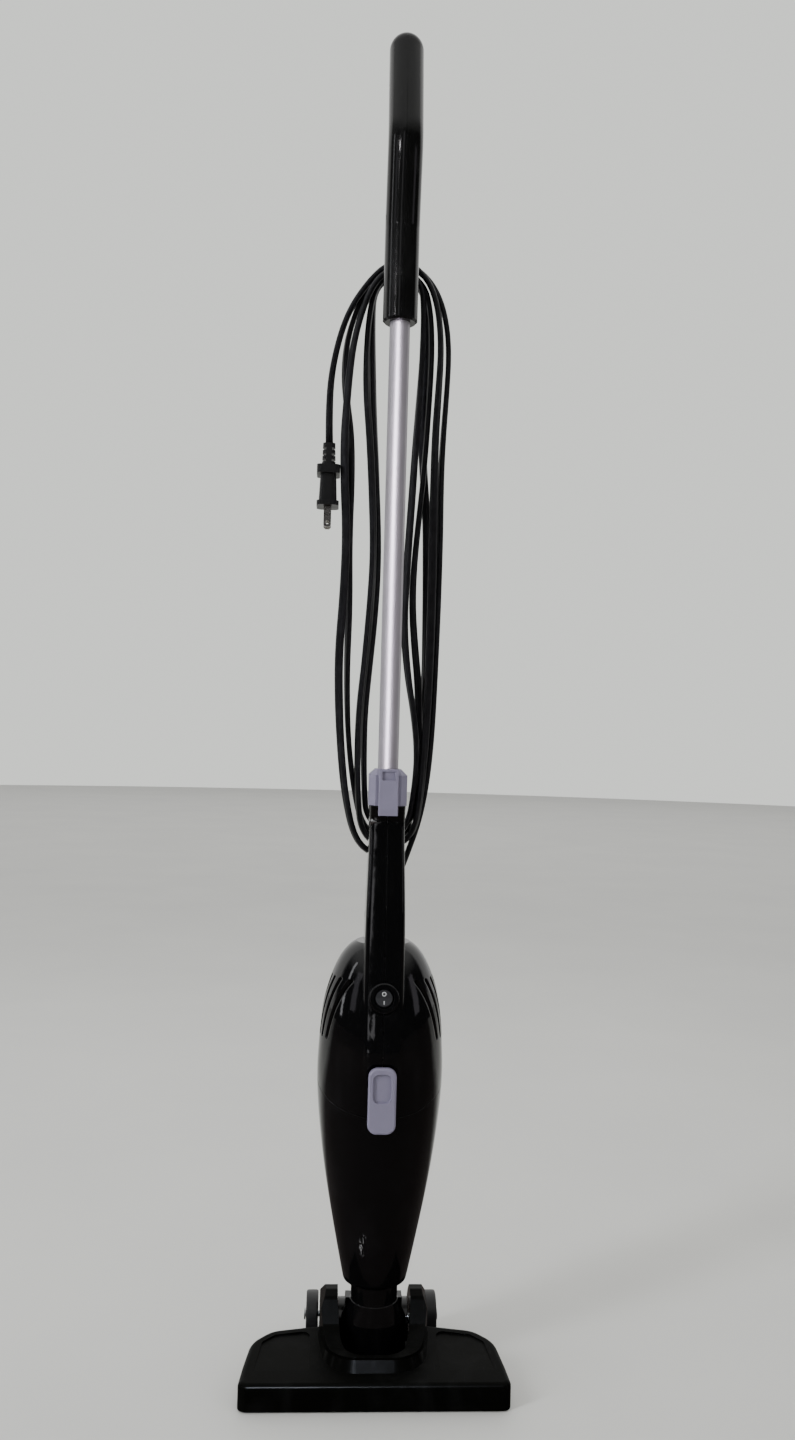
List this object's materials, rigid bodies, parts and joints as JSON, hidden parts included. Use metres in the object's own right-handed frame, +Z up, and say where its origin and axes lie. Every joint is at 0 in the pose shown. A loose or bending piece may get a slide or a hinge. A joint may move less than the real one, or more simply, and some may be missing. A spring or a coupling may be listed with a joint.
{
  "type": "upright stick vacuum cleaner",
  "caption": "Slim upright stick vacuum with wheeled tilting floor head, teardrop dust cup and motor unit, lift-off tube with cranked handle, and a mains cord hung in a hank.",
  "frame": {"origin": "on the floor under the wand tube's axis, at the middle of the head's width and depth", "axes": "+Z up along the wand tube, -Y towards the front edge of the floor head, +X to the viewer's right when facing the front"},
  "size_m": [0.2124, 0.1333, 1.113],
  "materials": {
    "gloss_black": "gloss moulded plastic",
    "satin_black": "satin moulded plastic",
    "grey_plastic": "satin moulded plastic",
    "silver_tube": "satin silver coat",
    "cord_rubber": "smooth flexible jacket",
    "soft_rubber": "soft",
    "bristle": "bristle",
    "filter_paper": "pleated",
    "steel": "plain",
    "brass": "plain",
    "copper": "enamelled",
    "carbon": "pressed"
  },
  "bodies": {
    "floor_head": {"head_shell": "gloss_black", "sole_plate": "satin_black", "bristle_strip": "bristle", "sole_screws": "steel", "tilt_pins": "steel", "wheel_axles": "steel"},
    "left_wheel": {"left_wheel": "satin_black"},
    "right_wheel": {"right_wheel": "satin_black"},
    "elbow": {"elbow": "gloss_black", "elbow_seal": "soft_rubber"},
    "dust_cup": {"dust_cup": "gloss_black", "flap_pin": "steel"},
    "inlet_flap": {"inlet_flap": "soft_rubber"},
    "motor_unit": {"left_housing": "gloss_black", "right_housing": "gloss_black", "housing_screws": "steel", "bulkhead": "satin_black", "cup_seal": "soft_rubber", "filter_element": "filter_paper", "filter_end_cap": "satin_black", "filter_flange": "satin_black", "cup_latch_pin": "steel", "cup_latch_spring": "steel", "switch_body": "satin_black", "switch_terminals": "brass", "fan_shroud": "satin_black", "motor_mount": "soft_rubber", "motor_case": "steel", "stator_core": "steel", "field_coils": "copper", "lower_bearing": "steel", "upper_bearing": "steel", "brush_holders": "brass", "carbon_brushes": "carbon", "cord_strain_relief": "cord_rubber", "cord_lead": "cord_rubber"},
    "rotor": {"motor_shaft": "steel", "armature_core": "steel", "commutator": "copper", "impeller": "satin_black"},
    "cup_latch": {"cup_latch": "grey_plastic"},
    "switch_rocker": {"switch_rocker": "satin_black"},
    "wand": {"connector_collar": "grey_plastic", "wand_tube": "silver_tube", "handle_left": "satin_black", "handle_right": "satin_black", "handle_screws": "steel", "upper_cord_hook": "satin_black", "lower_cord_hook": "grey_plastic", "wand_latch_pin": "steel", "wand_latch_spring": "steel", "cord_hank": "cord_rubber", "cord_tail": "cord_rubber", "plug_body": "cord_rubber", "plug_blades": "brass"},
    "wand_latch": {"wand_latch": "grey_plastic"}
  },
  "joints": [
    {"name": "head_tilt", "type": "hinge", "parent": "floor_head", "child": "elbow", "pos_m": [0, 0.018, 0.03], "axis": [-1, 0, 0], "range_deg": [0, 72]},
    {"name": "left_wheel_spin", "type": "hinge", "parent": "floor_head", "child": "left_wheel", "pos_m": [-0.0508, 0.0485, 0.0188], "axis": [1, 0, 0], "continuous": true},
    {"name": "right_wheel_spin", "type": "hinge", "parent": "floor_head", "child": "right_wheel", "pos_m": [0.0508, 0.0485, 0.0188], "axis": [1, 0, 0], "continuous": true},
    {"name": "cup_lift", "type": "slide", "parent": "elbow", "child": "dust_cup", "axis": [0, 0, 1], "range_m": [0, 0.06]},
    {"name": "inlet_flap_swing", "type": "hinge", "parent": "dust_cup", "child": "inlet_flap", "pos_m": [0, 0.0186, 0.1132], "axis": [-1, 0, 0], "range_deg": [0, 60]},
    {"name": "motor_lift", "type": "slide", "parent": "dust_cup", "child": "motor_unit", "axis": [0, 0, 1], "range_m": [0, 0.11]},
    {"name": "rotor_spin", "type": "hinge", "parent": "motor_unit", "child": "rotor", "pos_m": [0, 0.01, 0.29], "axis": [0, 0, 1], "continuous": true},
    {"name": "cup_latch_press", "type": "hinge", "parent": "motor_unit", "child": "cup_latch", "pos_m": [0, -0.0422, 0.233], "axis": [-1, 0, 0], "range_deg": [0, 7], "stiffness_Nm_per_rad": 0.6, "deforming": ["cup_latch_spring"]},
    {"name": "switch_rock", "type": "hinge", "parent": "motor_unit", "child": "switch_rocker", "pos_m": [0, -0.03463, 0.31168], "axis": [-1, 0, 0], "range_deg": [-14, 0]},
    {"name": "wand_lift", "type": "slide", "parent": "motor_unit", "child": "wand", "axis": [0, 0, 1], "range_m": [0, 0.06]},
    {"name": "wand_latch_press", "type": "hinge", "parent": "wand", "child": "wand_latch", "pos_m": [0, -0.0146, 0.476], "axis": [-1, 0, 0], "range_deg": [0, 5], "stiffness_Nm_per_rad": 0.6, "deforming": ["wand_latch_spring"]}
  ]
}
